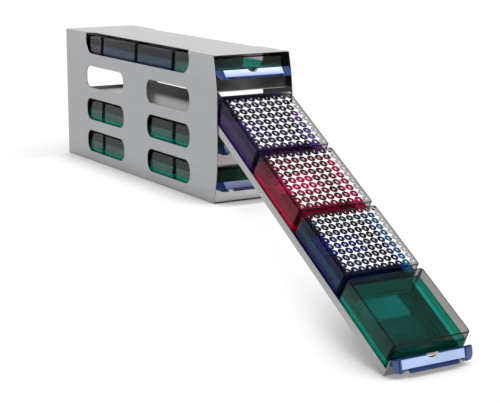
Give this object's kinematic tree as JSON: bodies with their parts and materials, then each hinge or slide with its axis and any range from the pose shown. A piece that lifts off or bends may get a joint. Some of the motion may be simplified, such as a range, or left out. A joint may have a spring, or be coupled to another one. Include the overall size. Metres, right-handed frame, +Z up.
{
  "type": "freezer rack",
  "caption": "Upright steel freezer rack: a folded housing with pull-out trays, one drawn out and hanging at a slope, each holding square storage boxes with clear lids.",
  "frame": {"origin": "middle of the housing's base, on the surface that it stands on", "axes": "+X to the right, -Y out of the front where the trays come out, +Z up"},
  "size_m": [0.1404, 1.0434, 0.3903],
  "materials": {
    "housing_steel": "brushed along the depth",
    "tray_steel": "fine satin",
    "holder_plastic": "glossy, translucent",
    "label_paper": "smooth card",
    "box_green": "glossy, translucent",
    "box_blue": "glossy, translucent",
    "box_red": "glossy, translucent",
    "box_purple": "glossy, translucent",
    "lid_clear": "clear, glossy"
  },
  "bodies": {
    "housing": {"housing_wrap": "housing_steel", "base_stop": "housing_steel", "stop_studs": "housing_steel", "shelf_1": "housing_steel", "shelf_2": "housing_steel", "shelf_3": "housing_steel"},
    "tray_1_body": {"tray_1": "tray_steel", "label_holder_1": "holder_plastic", "paper_label_1": "label_paper", "box_base_1_1": "box_green", "box_lid_1_1": "lid_clear", "box_base_1_2": "box_blue", "box_lid_1_2": "lid_clear", "box_base_1_3": "box_blue", "box_lid_1_3": "lid_clear", "box_base_1_4": "box_purple", "box_lid_1_4": "lid_clear"},
    "tray_2_body": {"tray_2": "tray_steel", "label_holder_2": "holder_plastic", "paper_label_2": "label_paper", "box_base_2_1": "box_green", "box_lid_2_1": "lid_clear", "box_base_2_2": "box_blue", "box_lid_2_2": "lid_clear", "box_base_2_3": "box_red", "box_lid_2_3": "lid_clear", "box_base_2_4": "box_purple", "box_lid_2_4": "lid_clear"},
    "tray_3_body": {"tray_3": "tray_steel", "label_holder_3": "holder_plastic", "paper_label_3": "label_paper", "box_base_3_1": "box_green", "box_lid_3_1": "lid_clear", "box_base_3_2": "box_green", "box_lid_3_2": "lid_clear", "box_base_3_3": "box_green", "box_lid_3_3": "lid_clear", "box_base_3_4": "box_green", "box_lid_3_4": "lid_clear"},
    "tray_4_body": {"tray_4": "tray_steel", "label_holder_4": "holder_plastic", "paper_label_4": "label_paper", "box_base_4_1": "box_green", "box_lid_4_1": "lid_clear", "box_base_4_2": "box_green", "box_lid_4_2": "lid_clear", "box_base_4_3": "box_green", "box_lid_4_3": "lid_clear", "box_base_4_4": "box_green", "box_lid_4_4": "lid_clear"}
  },
  "joints": [
    {"name": "tray_1_slide", "type": "slide", "parent": "housing", "child": "tray_1_body", "axis": [0, -1, 0], "range_m": [0, 0.543]},
    {"name": "tray_2_tilt", "type": "hinge", "parent": "housing", "child": "tray_2_body", "pos_m": [0, -0.2795, 0.1196], "axis": [-1, 0, 0], "range_deg": [0, 31]},
    {"name": "tray_3_slide", "type": "slide", "parent": "housing", "child": "tray_3_body", "axis": [0, -1, 0], "range_m": [0, 0.018]},
    {"name": "tray_4_slide", "type": "slide", "parent": "housing", "child": "tray_4_body", "axis": [0, -1, 0], "range_m": [0, 0.11]}
  ]
}
